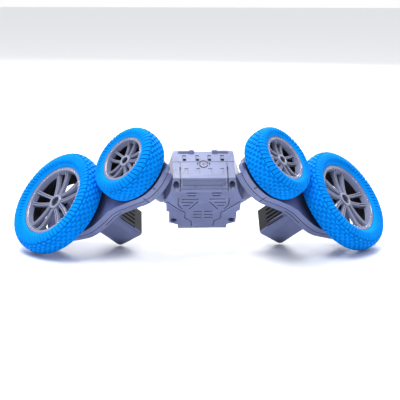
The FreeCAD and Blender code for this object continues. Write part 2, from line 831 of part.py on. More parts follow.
def make_front_shell():
    whole = body_form("0", "- body_front", "body_split")
    shell = cut(whole, body_form("body_wall", "- body_front + body_wall + panel_thick",
                                 "body_split + 1"))
    collars = common(join(*about_swivels("boss_radius", "arm_back + boss_gap", "arm_back + 24")),
                     box(("0", "body_split - 20", "chamfer_foot - 30"), ("150", "40", "60")))
    bay = box(("0", "( bay_back - bay_front ) / 2", "bay_floor + 5.6"),
              ("2 * bay_half + 3", "bay_back + bay_front + 3", "14.2"))
    wells = [rod_through("well_radius + 1.5", "- body_front", "body_split", across, up)
             for across, up in BODY_SCREWS]
    inside = common(join(bay, *wells), body_form("0", "- body_front", "body_split"))
    solid = join(shell, collars, inside)
    half_opening = "door_half + door_gap"
    tools = [box(("0", "- body_front", "chamfer_foot - 30"), ("80", "2 * panel_thick", "60")),
             box(("0", "( bay_back - bay_front ) / 2", "bay_floor + 10"),
                 ("2 * bay_half", "bay_back + bay_front", "20")),
             door_form("(- 1)", "(door_thick + 0.1)", half_opening),
             box(("0", "door_back", "body_top"),
                 (f"2 * ( {half_opening} )", "2 * door_gap", "2 * door_thick + 0.2")),
             cross_rod("hinge_knuckle + 0.35", half_opening),
             cross_rod("hinge_pin + run_clear", "door_half + 1.6")]
    tools += about_swivels("post_radius", "arm_back", "post_depth")
    tools += about_swivels("post_radius + 1", "post_depth", "arm_back + 36")
    for across, up in BODY_SCREWS:
        tools.append(rod_through("well_radius", "- body_front - 1", "screw_floor", across, up))
        tools.append(rod_through("screw_shank", "- body_front", "body_split + 1", across, up))
    pillar = rod("screw_post", "bay_floor", "body_top - door_thick - 0.1", "0", "door_screw_at")
    thread = rod("door_screw_shank + 0.65", "bay_floor + 5", "body_top", "0", "door_screw_at")
    finish(cut(join(cut(solid, *tools), pillar), thread), "body_front_shell", BODY)


def make_rear_shell():
    shell = cut(body_form("0", "body_split", "body_rear"),
                body_form("body_wall", "body_split - 1", "body_rear - body_wall"))
    posts = [rod_through("screw_post", "body_split", "body_rear - 1", across, up)
             for across, up in BODY_SCREWS]
    posts += [rod_through("2", "board_front + board_thick", "body_rear - 1", across, up)
              for across in ("16", "- 16") for up in ("4", "24")]
    holes = [rod_through("screw_shank", "body_split - 1", "body_split + 5", across, up)
             for across, up in BODY_SCREWS]
    slot = box(("0", "body_rear", "switch_up"), ("knob_travel + 3.6", "8", "3.2"))
    limited = common(join(*posts), body_form("0", "board_front", "body_rear"))
    finish(cut(join(shell, limited), slot, *holes), "body_rear_shell", BODY)


def make_body_fittings():
    panel = common(body_form("0", "- body_front", "- body_front + panel_thick"),
                   box(("0", "- body_front", "chamfer_foot - 30"), ("80", "10", "60")))
    wells = [rod_through("well_radius", "- body_front - 1", "0", across, up)
             for across, up in BODY_SCREWS[2:]]
    finish(cut(panel, *wells), "front_panel", BODY)

    plate = join(door_form("0", "door_thick", "door_half"), cross_rod("hinge_knuckle", "door_half"),
                 cross_rod("hinge_pin", "door_half + 1.4"))
    sink = "body_top - door_screw_sink"
    seat = [rod("door_screw_head + 0.1", sink, "body_top + 1", "0", "door_screw_at"),
            rod("door_screw_shank", "body_top - 5", "body_top", "0", "door_screw_at")]
    finish(cut(plate, *seat), "battery_door", BODY)
    screw = join(rod("door_screw_head", sink, "body_top - 0.1", "0", "door_screw_at"),
                 rod("door_screw_shank", "body_top - 6", sink, "0", "door_screw_at"))
    slots = [box(("0", "door_screw_at", "body_top"), size)
             for size in (("3.4", "0.7", "1"), ("0.7", "3.4", "1"))]
    finish(cut(screw, *slots), "door_screw", BODY)

    pack = box(("0", "- bay_front / 2 - 0.2", "bay_floor + 5"), ("35", "bay_front - 3.8", "9.4"))
    finish(pack, "battery_pack", BODY)
    plates = [box((f"{sign} 18.3", "- bay_front / 2 - 0.2", "bay_floor + 4.3"),
                  ("0.8", "8", "8.4")) for sign in ("", "-")]
    finish(compound(plates), "battery_contacts", BODY)

    board = box(("0", "board_front + board_thick / 2", "14"), ("40", "board_thick", "26"))
    chips = [box(("- 6", "board_front", "16"), ("9", "2.4", "7")),
             box(("9", "board_front", "20"), ("6", "3", "5")),
             box(("10", "board_front", "8"), ("4", "5", "4"))]
    finish(join(board, *chips), "circuit_board", BODY)
    finish(box(("0", "body_rear - body_wall - 2.7", "switch_up"), ("12", "5", "6")),
           "power_switch", BODY)
    knob = join(box(("- knob_travel / 2", "body_rear - 0.6", "switch_up"), ("3", "3.2", "2.8")),
                box(("- knob_travel / 2", "body_rear + 0.4", "switch_up"), ("1", "1.6", "2.8")))
    finish(knob, "switch_knob", BODY)
    screws = [join(rod_through("screw_head", "screw_floor - 1.8", "screw_floor", across, up),
                   rod_through("screw_shank", "screw_floor", "body_split + 4.5", across, up))
              for across, up in BODY_SCREWS]
    finish(compound(screws), "body_screws", BODY)


# ---------------------------------------------------------------- the whole car

make_front_shell()
make_rear_shell()
make_body_fittings()
for name, side in SIDES.items():
    make_swivel(name, side)
    make_arm_shells(name, side)
    make_motor(name, side)
    make_gears(name, side)
    make_wheels(name, side)
doc.recompute()

for item in doc.Objects:
    if {"Invalid", "Error"} & set(item.State):
        raise RuntimeError(f"{item.Name} ({item.Label}) failed to recompute")
os.makedirs("parts", exist_ok=True)
for item in finished:
    shape = item.Shape
    if shape.isNull() or not shape.isValid() or shape.Volume <= 0:
        raise RuntimeError(f"{item.Label} has no valid shape")
    shape.exportStep(f"parts/{item.Label}.step")
print(len(finished), "sub-parts written")
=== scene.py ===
import bpy
import bmesh
import json
import math
import numpy as np
from mathutils import Matrix, Vector


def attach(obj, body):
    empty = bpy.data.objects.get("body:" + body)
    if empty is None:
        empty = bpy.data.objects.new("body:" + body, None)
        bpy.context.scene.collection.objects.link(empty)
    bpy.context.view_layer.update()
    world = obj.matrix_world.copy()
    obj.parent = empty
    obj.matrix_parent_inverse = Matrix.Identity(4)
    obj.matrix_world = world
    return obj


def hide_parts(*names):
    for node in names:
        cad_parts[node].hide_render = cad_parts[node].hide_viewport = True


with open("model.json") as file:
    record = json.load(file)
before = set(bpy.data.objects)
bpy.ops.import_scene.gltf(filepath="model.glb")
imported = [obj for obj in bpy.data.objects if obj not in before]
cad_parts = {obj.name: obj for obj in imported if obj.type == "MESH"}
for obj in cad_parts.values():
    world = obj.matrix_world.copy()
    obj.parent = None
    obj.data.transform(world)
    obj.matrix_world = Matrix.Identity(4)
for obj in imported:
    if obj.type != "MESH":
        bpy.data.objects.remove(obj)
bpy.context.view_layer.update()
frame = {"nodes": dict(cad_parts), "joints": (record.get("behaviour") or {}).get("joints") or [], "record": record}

MM = 0.001
SIDES = ("right", "left")

# ------------------------------------------------------------------ frames of the car
# Body frame: x across, k from front to rear, m up the front face, zero on the body's datum.
# Arm frame: w from the swivel axis to the big axle, q along k, h out along the axles,
# with zero near the wheels' outer faces. Both arms use it, the left one as a mirror image.

JOINTS = {joint["name"]: joint for joint in frame["joints"]}
ARM_BACK = 36.0
SWIVEL_UP = 58.3
AXLE = {"small": 0.0, "big": 85.0}


def arm_matrix(side):
    """Arm frame in millimetres to the row frame in metres."""
    swivel = JOINTS[f"swivel_{side}"]
    out = Vector(swivel["axis"]).normalized()
    corner = Vector(swivel["pos_m"]) + out * ARM_BACK * MM
    reach = Vector(JOINTS[f"big_spin_{side}"]["pos_m"]) - corner
    along = (reach - out * reach.dot(out)).normalized()
    through = out.cross(along) if side == "right" else along.cross(out)
    basis = Matrix((along, through, out)).transposed().to_4x4()
    return Matrix.Translation(corner) @ basis @ Matrix.Scale(MM, 4)


ARMS = {side: arm_matrix(side) for side in SIDES}
SWIVELS_MIDDLE = (ARMS["right"].translation + ARMS["left"].translation) / 2
ACROSS = Vector((1, 0, 0))
THROUGH = (ARMS["right"].to_3x3() @ Vector((0, 1, 0))).normalized()
UP_FACE = ACROSS.cross(THROUGH)
BODY = (Matrix.Translation(SWIVELS_MIDDLE - UP_FACE * SWIVEL_UP * MM)
        @ Matrix((ACROSS, THROUGH, UP_FACE)).transposed().to_4x4() @ Matrix.Scale(MM, 4))


def wheel_matrix(size, side):
    return ARMS[side] @ Matrix.Translation((AXLE[size], 0, 0))


# ------------------------------------------------------------------ materials

def add_noise(tree, coordinates, scale, detail):
    node = tree.nodes.new("ShaderNodeTexNoise")
    node.inputs["Scale"].default_value = scale
    node.inputs["Detail"].default_value = detail
    tree.links.new(coordinates.outputs["Object"], node.inputs["Vector"])
    return node.outputs["Fac"]


def add_range(tree, value, low, high, to_low, to_high):
    node = tree.nodes.new("ShaderNodeMapRange")
    for name, number in (("From Min", low), ("From Max", high),
                         ("To Min", to_low), ("To Max", to_high)):
        node.inputs[name].default_value = number
    tree.links.new(value, node.inputs["Value"])
    return node.outputs["Result"]


def add_mix(tree, factor, one, two, blend="MIX"):
    """Mixed colour of two colours, each a value or a socket."""
    node = tree.nodes.new("ShaderNodeMix")
    node.data_type = "RGBA"
    node.blend_type = blend
    for socket, value in ((node.inputs[0], factor), (node.inputs[6], one), (node.inputs[7], two)):
        if isinstance(value, bpy.types.NodeSocket):
            tree.links.new(value, socket)
        else:
            socket.default_value = value
    return node.outputs[2]


def shade(color, factor):
    return (*[min(1.0, part * factor) for part in color], 1.0)


def surface(name, color, rough, vary=0.10, grain=2600.0, depth=0.10, wear=0.25, painted_shade=0.5,
            reach=0.004, **constants):
    """Procedural finish: mottled colour, worn edges, painted shade in crevices and between parts, fine grain."""
    material = bpy.data.materials.new(name)
    material.use_nodes = True
    tree = material.node_tree
    shader = tree.nodes["Principled BSDF"]
    coordinates = tree.nodes.new("ShaderNodeTexCoord")
    cloud = add_noise(tree, coordinates, 55.0, 4.0)
    specks = add_noise(tree, coordinates, 900.0, 2.0)
    tone = add_mix(tree, add_range(tree, cloud, 0.3, 0.7, 0.0, 1.0),
                   shade(color, 1 - vary), shade(color, 1 + vary))
    tone = add_mix(tree, add_range(tree, specks, 0.62, 0.75, 0.0, 0.35), tone, shade(color, 0.72))
    geometry = tree.nodes.new("ShaderNodeNewGeometry")
    edge = add_range(tree, geometry.outputs["Pointiness"], 0.52, 0.60, 0.0, wear)
    tone = add_mix(tree, edge, tone, shade(color, 1.9))
    # Painted shade: the colour is darkened where ambient occlusion finds surfaces within reach, in crevices,
    # recesses and between parts.
    shade_ao = tree.nodes.new("ShaderNodeAmbientOcclusion")
    shade_ao.inputs["Distance"].default_value = reach
    shade_ao.samples = 8
    shade_factor = add_range(tree, shade_ao.outputs["AO"], 0.15, 0.85, 1 - painted_shade, 1.0)
    shade_gray = tree.nodes.new("ShaderNodeCombineColor")
    for channel in ("Red", "Green", "Blue"):
        tree.links.new(shade_factor, shade_gray.inputs[channel])
    tone = add_mix(tree, 1.0, tone, shade_gray.outputs["Color"], "MULTIPLY")
    tree.links.new(tone, shader.inputs["Base Color"])
    tree.links.new(add_range(tree, cloud, 0.25, 0.75, rough * 0.85, rough * 1.15),
                   shader.inputs["Roughness"])
    fine = add_noise(tree, coordinates, grain, 2.0)
    bump_node = tree.nodes.new("ShaderNodeBump")
    bump_node.inputs["Strength"].default_value = depth
    bump_node.inputs["Distance"].default_value = 0.0002
    tree.links.new(fine, bump_node.inputs["Height"])
    tree.links.new(bump_node.outputs["Normal"], shader.inputs["Normal"])
    for socket, value in constants.items():
        shader.inputs[socket.replace("_", " ")].default_value = value
    return material


METAL = {"Metallic": 1.0}
# painted_shade sets how much darker each colour is painted in hollows and between parts. The arms get the
# strongest and widest painted shade, which stands in for their shaded faces between the wheels.
MATERIALS = {
    "body_plastic": surface("body_plastic", (0.165, 0.192, 0.345), 0.30, painted_shade=0.75,
                            Specular_IOR_Level=0.7),
    "panel_plastic": surface("panel_plastic", (0.150, 0.180, 0.345), 0.42, painted_shade=0.8, reach=0.002),
    "arm_plastic": surface("arm_plastic", (0.160, 0.188, 0.350), 0.34, painted_shade=0.92, reach=0.012),
    "tyre_blue": surface("tyre_blue", (0.0, 0.28, 0.93), 0.7, vary=0.08, wear=0.0, painted_shade=0.6,
                         reach=0.003, Specular_IOR_Level=0.04),
    "rim_plastic": surface("rim_plastic", (0.22, 0.24, 0.36), 0.16, vary=0.06, depth=0.03,
                           painted_shade=0.75, reach=0.006, Coat_Weight=0.8, Coat_Roughness=0.08),
    "gear_plastic": surface("gear_plastic", (0.75, 0.74, 0.66), 0.45, wear=0.05),
    "pinion_brass": surface("pinion_brass", (0.72, 0.50, 0.20), 0.28, **METAL),
    "axle_steel": surface("axle_steel", (0.55, 0.56, 0.58), 0.26, **METAL),
    "screw_steel": surface("screw_steel", (0.62, 0.62, 0.66), 0.24, **METAL),
    "motor_steel": surface("motor_steel", (0.50, 0.51, 0.54), 0.34, **METAL),
    "battery_wrap": surface("battery_wrap", (0.03, 0.12, 0.42), 0.25, Coat_Weight=0.4),
    "contact_brass": surface("contact_brass", (0.78, 0.60, 0.24), 0.24, **METAL),
    "board_green": surface("board_green", (0.01, 0.16, 0.05), 0.30, Coat_Weight=0.3),
    "switch_black": surface("switch_black", (0.02, 0.02, 0.024), 0.40),
}
RIB_BLACK = surface("rib_black", (0.010, 0.010, 0.016), 0.45, wear=0.1)
# Near-black that stands in for the shade inside the rims: painted shade.
RIM_SHADE_BLACK = surface("rim_painted_shade", (0.006, 0.007, 0.012), 0.5, wear=0.1)
# Steel darkened as painted shade: it stands for the shade deep in the wheel hubs' recesses and on the door screw.
SHADED_STEEL = surface("steel_painted_shade", (0.16, 0.16, 0.20), 0.30, **METAL)

# ------------------------------------------------------------------ mesh helpers

def placed(vertices, matrix):
    """Points in a local frame in millimetres to the row frame in metres."""
    points = np.asarray(vertices, dtype=float)
    m = np.array(matrix)
    return points @ m[:3, :3].T + m[:3, 3]


def grid_faces(rows, columns):
    """Quads of a closed ring of closed rows of vertices, stored row by row."""
    i = np.arange(rows)
    j = np.arange(columns)
    a, b = (x.ravel() for x in np.meshgrid(i, j, indexing="ij"))
    up = (a + 1) % rows
    on = (b + 1) % columns
    return np.stack([a * columns + b, up * columns + b, up * columns + on, a * columns + on],
                    axis=-1)


class Build:
    """Closed shells in a local frame, gathered into one mesh."""

    def __init__(self):
        self.vertices = []
        self.faces = []
        self.count = 0

    def add(self, vertices, faces):
        self.vertices.append(np.asarray(vertices, dtype=float))
        self.faces += [tuple(int(i) + self.count for i in face) for face in faces]
        self.count += len(vertices)

    def lathe(self, profile, steps, center=(0, 0, 0)):
        """Closed profile of (radius, height) turned about Z."""
        turns = 2 * np.pi * np.arange(steps) / steps
        r, z = (np.array(part, dtype=float) for part in zip(*profile))
        x = center[0] + np.outer(np.cos(turns), r)
        y = center[1] + np.outer(np.sin(turns), r)
        z = np.broadcast_to(center[2] + z, x.shape)
        self.add(np.stack([x, y, z], axis=-1).reshape(-1, 3), grid_faces(steps, len(profile)))

    def loft(self, sections):
        """Closed sections with equally many points, joined one after another and capped."""
        size = len(sections[0])
        last = len(sections) - 1
        faces = [tuple(range(size)), tuple(last * size + i for i in reversed(range(size)))]
        for row in range(last):
            for i in range(size):
                j = (i + 1) % size
                faces.append((row * size + i, (row + 1) * size + i,
                              (row + 1) * size + j, row * size + j))
        self.add(np.concatenate([np.asarray(section, dtype=float) for section in sections]), faces)

    def bar(self, start, end, width, low, high, normal="z"):
        """Box along a line in a plane, between two heights over it."""
        (ax, ay), (bx, by) = start, end
        length = math.hypot(bx - ax, by - ay)
        ux, uy = (bx - ax) / length, (by - ay) / length
        half = width / 2
        flat = [(ax - uy * half, ay + ux * half), (ax + uy * half, ay - ux * half),
                (bx + uy * half, by - ux * half), (bx - uy * half, by + ux * half)]
        lift = {"z": lambda p, z: (p[0], p[1], z), "y": lambda p, z: (p[0], z, p[1])}[normal]
        self.loft([[lift(p, low) for p in flat], [lift(p, high) for p in flat]])

    def box(self, low, high):
        (x0, y0, z0), (x1, y1, z1) = low, high
        self.loft([[(x0, y0, z), (x1, y0, z), (x1, y1, z), (x0, y1, z)] for z in (z0, z1)])

    def mesh(self, name, matrix):
        mesh = bpy.data.meshes.new(name)
        points = placed(np.concatenate(self.vertices), matrix)
        mesh.from_pydata(points.tolist(), [], self.faces)
        tidy(mesh, 0)
        return mesh


def tidy(mesh, merge):
    """Merge doubled vertices and turn all faces outward."""
    work = bmesh.new()
    work.from_mesh(mesh)
    if merge:
        bmesh.ops.remove_doubles(work, verts=work.verts, dist=merge)
        bmesh.ops.dissolve_limit(work, angle_limit=math.radians(0.5), verts=work.verts,
                                 edges=work.edges)
    bmesh.ops.recalc_face_normals(work, faces=work.faces)
    work.to_mesh(mesh)
    work.free()


def show(name, mesh, body, slot, sharp=0.0, stands_for=(), material=None):
    """Object with its finish, shading and body; the slot picks the finish unless a material is given."""
    item = bpy.data.objects.new(name, mesh)
    bpy.context.scene.collection.objects.link(item)
    mesh.materials.clear()
    mesh.materials.append(material or MATERIALS[slot])
    mesh.polygons.foreach_set("use_smooth", [True] * len(mesh.polygons))
    if sharp:
        mesh.set_sharp_from_angle(angle=math.radians(sharp))
    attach(item, body)
    if stands_for:
        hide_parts(*stands_for)
    return item


def evaluated_mesh(item):
    """The item's mesh with its modifiers applied; the item itself is removed."""
    graph = bpy.context.evaluated_depsgraph_get()
    mesh = bpy.data.meshes.new_from_object(item.evaluated_get(graph))
    bpy.data.objects.remove(item)
    return mesh


SHARP = 30.0


def shaped_copy(node, cutters=None, matrix=BODY, added=None, soften=0.35):
    """A CAD node's mesh, carved, built up and with softened edges."""
    mesh = frame["nodes"][node].data.copy()
    tidy(mesh, 1e-6)
    item = bpy.data.objects.new("work", mesh)
    bpy.context.scene.collection.objects.link(item)
    helpers = []
    for build, operation in ((cutters, "DIFFERENCE"), (added, "UNION")):
        if build:
            tool = bpy.data.objects.new("tool", build.mesh("tool", matrix))
            bpy.context.scene.collection.objects.link(tool)
            helpers.append(tool)
            change = item.modifiers.new("carve", "BOOLEAN")
            change.operation = operation
            change.solver = "EXACT"
            change.use_self = True
            change.object = tool
    carved = evaluated_mesh(item)
    for tool in helpers:
        bpy.data.objects.remove(tool)
    tidy(carved, 1e-6)
    carved.polygons.foreach_set("use_smooth", [True] * len(carved.polygons))
    carved.set_sharp_from_angle(angle=math.radians(SHARP))
    item = bpy.data.objects.new("work", carved)
    bpy.context.scene.collection.objects.link(item)
    bevel = item.modifiers.new("soften", "BEVEL")
    bevel.width = soften * MM
    bevel.segments = 2
    bevel.limit_method = "ANGLE"
    bevel.angle_limit = math.radians(SHARP)
    weight = item.modifiers.new("weight", "WEIGHTED_NORMAL")
    weight.weight = 100
    weight.keep_sharp = False
    return evaluated_mesh(item)


def polar(radius, degrees):
    """Point at a distance and an angle from a centre."""
    return radius * math.cos(math.radians(degrees)), radius * math.sin(math.radians(degrees))


def on_side(sign, inner, outer):
    """Low and high end across the body of a feature on one side of its middle."""
    return sorted((sign * inner, sign * outer))


def across_body(outline, ends):
    """Sections for a loft that runs an outline of (k, m) points across the body."""
    return [[(x, k, m) for k, m in outline] for x in ends]


def smooth_step(low, high, value):
    part = np.clip((value - low) / (high - low), 0.0, 1.0)
    return part * part * (3 - 2 * part)


def band(value, center, half, soft):
    """1 inside a band about a centre, falling to 0 over a soft edge."""
    return 1 - smooth_step(half - soft, half + soft, np.abs(value - center))


# ------------------------------------------------------------------ tyres

TYRES = {
    "big": {"rim": 34.0, "outer": 49.4, "width": 22.4, "bulge": 1.8, "blocks": 72},
    "small": {"rim": 21.7, "outer": 33.4, "width": 24.6, "bulge": 1.6, "blocks": 48},
}
STEPS_PER_BLOCK = 16
TYRE_ACROSS = 100
TYRE_POWER = 2.5
BEAD_SLOPE = 5.0
BEAD_BELOW_RIM = 1.0
FIT_GAP = 0.02
CROWN_ROWS = 16


def tyre_section(rim, outer, width, bulge):
    """Outer surface of a tyre's section from the front bead over the tread to the back."""
    middle = bulge - width / 2
    turn = np.linspace(math.radians(-24), math.radians(204), TYRE_ACROSS)
    core = rim + 0.30 * (outer - rim)
    c, s = np.cos(turn), np.sin(turn)
    z = middle + (width / 2) * np.sign(c) * np.abs(c) ** (2 / TYRE_POWER)
    r = core + (outer - core) * np.sign(s) * np.abs(s) ** (2 / TYRE_POWER)
    return np.maximum(r, rim + FIT_GAP), z


def tyre_relief(angle, side, blocks):
    """Depth of the tread below the outer surface: curved shoulder ribs and crown knobs.

    side runs from -1 at the front bead over 0 on the crown to +1 at the back bead.
    """
    reach = np.abs(side)
    lean = 0.9 * np.sign(side) * smooth_step(0.25, 1.0, reach) ** 2
    phase = angle * blocks / (2 * np.pi) + lean
    rib_zone = band(reach, 0.62, 0.24, 0.06)
    groove = rib_zone * smooth_step(0.36, 0.46, np.abs(phase % 1.0 - 0.5))
    fine = rib_zone * smooth_step(0.36, 0.48, np.abs(2 * phase % 1.0 - 0.5))
    rows = (side + 1) * CROWN_ROWS / 2
    row = np.floor(rows)
    stagger = (angle * blocks / (3 * np.pi) + 0.5 * (row % 2)) % 1.0
    knob = smooth_step(0.30, 0.40, np.abs(stagger - 0.5))
    seam = smooth_step(0.34, 0.46, np.abs(rows % 1.0 - 0.5))
    crown = 1 - smooth_step(0.36, 0.46, reach)
    bead_line = band(reach, 0.90, 0.012, 0.01)
    return 0.95 * groove + 0.30 * fine + crown * 1.3 * np.maximum(knob, seam) + 0.4 * bead_line


def make_tyre(size, side):
    spec = TYRES[size]
    rim, outer = spec["rim"], spec["outer"]
    r, z = tyre_section(rim, outer, spec["width"], spec["bulge"])
    front_half = z > spec["bulge"] - spec["width"] / 2
    drop = RIMS[size]["set"] + BEAD_BELOW_RIM
    z = z - front_half * drop * (1 - smooth_step(rim, rim + BEAD_SLOPE, r))
    arc = np.concatenate([[0], np.cumsum(np.hypot(np.diff(r), np.diff(z)))])
    across = 2 * arc / arc[-1] - 1
    normal_r, normal_z = -np.gradient(z, arc), np.gradient(r, arc)
    steps = spec["blocks"] * STEPS_PER_BLOCK
    turns = 2 * np.pi * np.arange(steps) / steps
    angle, where = np.meshgrid(turns, across, indexing="ij")
    depth = tyre_relief(angle, where, spec["blocks"])
    radius = r - depth * normal_r
    height = z - depth * normal_z
    front, back = spec["bulge"], spec["bulge"] - spec["width"]
    lining = [(rim + FIT_GAP, back + 4.6), (rim + 1.5, back + 4.0), (outer - 4, back + 5),
              (outer - 4, front - 5), (rim + 1.5, front - 4.0), (rim + FIT_GAP, front - 4.6)]
    inner_r, inner_z = (np.broadcast_to(np.array(part), (steps, len(lining)))
                        for part in zip(*lining))
    radius = np.hstack([radius, inner_r])
    height = np.hstack([height, inner_z])
    c, s = np.cos(turns)[:, None], np.sin(turns)[:, None]
    build = Build()
    build.add(np.stack([radius * c, radius * s, height], axis=-1).reshape(-1, 3),
              grid_faces(steps, radius.shape[1]))
    mesh = build.mesh(f"{size}_tread_{side}", wheel_matrix(size, side))
    show(f"{size}_tread_{side}", mesh, f"{size}_wheel_{side}", "tyre_blue", 0,
         [f"{size}_tyre_{side}"])


# ------------------------------------------------------------------ rims

RIMS = {
    "big": {"set": 2.5, "rim": 34.0, "hub": 7.0, "axle": 2.0, "bar": 1.0, "near": 2.9, "far": 6.2,
            "bolt": 0.62, "back": -17.4},
    "small": {"set": 0.8, "rim": 21.7, "hub": 5.5, "axle": 1.5, "bar": 0.70, "near": 2.2,
              "far": 4.1, "bolt": 0.5, "back": -19.0},
}
SPOKE_TURN = {("big", "right"): 26.0, ("big", "left"): 34.0,
              ("small", "right"): 28.0, ("small", "left"): 44.0}
HUB_SET = 4.3
HUB_RECESS = 7.7
RIM_STEPS = 160
SPOKE_PAIRS = 5
BOLT_PAIRS = 10
FLANGE_BACK = -7.0
SHADE_LIP = 8.5


def rim_matrix(size, side):
    return wheel_matrix(size, side) @ Matrix.Translation((0, 0, -RIMS[size]["set"]))


def spoke_section(reach, offset, half, top, bottom, turn):
    """Section of a bar across a radius, with a groove along its top."""
    flat = [(-half, bottom), (-half, top - 0.7 * half), (-0.72 * half, top),
            (-0.30 * half, top), (-0.12 * half, top - 0.45 * half),
            (0.12 * half, top - 0.45 * half), (0.30 * half, top), (0.72 * half, top),
            (half, top - 0.7 * half), (half, bottom)]
    c, s = math.cos(turn), math.sin(turn)
    return [(reach * c - (offset + u) * s, reach * s + (offset + u) * c, z) for u, z in flat]


def make_rim(size, side):
    """Flange with a sunk inner wall, five pairs of spokes and a hub, and a barrel behind in near-black that is
    painted shade.
    """
    spec = RIMS[size]
    rim, hub, axle, scale = (spec[key] for key in ("rim", "hub", "axle", "bar"))
    matrix = rim_matrix(size, side)
    body = f"{size}_wheel_{side}"
    edge = rim - FIT_GAP
    lip = edge - 3.3 * scale ** 0.4
    foot = lip - 1.1 * scale
    build = Build()
    build.lathe([(edge, FLANGE_BACK), (edge, -1.0), (edge - 0.12, -0.35), (edge - 0.5, 0.0),
                 (edge - 0.95, -0.1), (edge - 1.15, -0.5), (lip + 0.5, -0.5), (lip, -0.85),
                 (foot, -HUB_SET - 0.6), (foot, -HUB_SET - 1.6), (foot + 0.6, -HUB_SET - 1.7),
                 (edge - 1.6, -5.6), (edge - 1.6, FLANGE_BACK)], RIM_STEPS)
    well = hub - 2.4
    build.lathe([(axle + FIT_GAP, -HUB_RECESS), (well, -HUB_RECESS), (well, -HUB_SET + 0.6),
                 (well + 0.35, -HUB_SET + 1.0), (hub - 0.5, -HUB_SET + 1.0),
                 (hub, -HUB_SET + 0.5), (hub + 0.3, -HUB_SET - 1.4), (hub + 0.9, -HUB_SET - 2.2),
                 (hub + 0.9, -HUB_SET - 5.0), (hub, -HUB_SET - 6.0), (hub - 0.4, -18.5),
                 (axle + FIT_GAP, -18.5)], 72)
    start = math.radians(SPOKE_TURN[size, side])
    for pair in range(SPOKE_PAIRS):
        turn = start + 2 * math.pi * pair / SPOKE_PAIRS
        for sign in (-1, 1):
            sections = []
            for part in np.linspace(0.0, 1.0, 10):
                reach = hub - 1.0 + part * (lip + 0.5 - hub + 1.0)
                offset = sign * (spec["near"] + (spec["far"] - spec["near"]) * part)
                half = scale * (1.85 + 0.6 * max(0.0, (part - 0.8) / 0.2) ** 2)
                rise = 3.2 * max(0.0, (part - 0.72) / 0.28) ** 2
                top = -HUB_SET + 0.1 - 0.6 * math.sin(math.pi * min(1.0, part / 0.8)) + rise
                sections.append(spoke_section(reach, offset, half, top, -HUB_SET - 3.6, turn))
            build.loft(sections)
    name = f"{size}_rim_look_{side}"
    show(name, build.mesh(name, matrix), body, "rim_plastic", 30, [f"{size}_rim_{side}"])

    # The barrel and the ring behind the hub are near-black as painted shade. The barrel's inward lip is a dark
    # sheet that hides the floor seen through the spokes.
    shade_barrel = Build()
    back = spec["back"]
    shade_barrel.lathe([(edge, -7.1), (edge, back), (edge - SHADE_LIP, back),
                  (edge - SHADE_LIP, back + 1.0), (edge - 2.9, back + 2.4),
                  (edge - 2.4, -12.0), (edge - 1.9, -7.1)], RIM_STEPS)
    shade_barrel.lathe([(hub + 2.6, -HUB_SET - 4.4), (hub + 2.6, -HUB_SET - 6.0), (hub + 0.2, -HUB_SET - 6.6),
                  (hub + 0.2, -HUB_SET - 4.4)], 60)
    name = f"{size}_rim_shade_barrel_{side}"
    show(name, shade_barrel.mesh(name, matrix), body, "rim_plastic", 30, material=RIM_SHADE_BLACK)

    bolts = Build()
    radius = spec["bolt"]
    reach = (edge - 1.15 + lip) / 2
    for i in range(BOLT_PAIRS):
        for sign in (-1, 1):
            turn = start + math.radians(360 / BOLT_PAIRS * i + sign * 4.2)
            center = (reach * math.cos(turn), reach * math.sin(turn), -0.6)
            bolts.lathe([(0.001, 0.0), (radius, 0.0), (radius, 0.35), (0.75 * radius, 0.55),
                         (0.4 * radius, 0.62), (0.36 * radius, 0.45), (0.001, 0.42)], 10, center)
    name = f"{size}_rim_bolts_{side}"
    show(name, bolts.mesh(name, matrix), body, "screw_steel", 40)


def make_wheel_screw(size, side):
    """Pan head with a cross recess, in place of the CAD screw."""
    cross = Build()
    for x, y in ((1.9, 0.35), (0.35, 1.9)):
        cross.box((-x, -y, 0.7 - HUB_RECESS), (x, y, 3.0 - HUB_RECESS))
    node = f"{size}_wheel_screw_{side}"
    mesh = shaped_copy(node, cross, rim_matrix(size, side), soften=0.15)
    show(f"{size}_wheel_screw_look_{side}", mesh, f"{size}_wheel_{side}", "screw_steel",
         stands_for=[node], material=SHADED_STEEL)


# ------------------------------------------------------------------ arms

SEAM = 30.5
SEAM_GAP = 0.3
RIBBED_FACE = 45.3
RIBBED_LOW = -13.0
LUG_ANGLE = -162
WEB_EDGE = [(29.0, 25.1), (37.0, 25.5), (42.0, 27.3), (47.5, 29.8)]


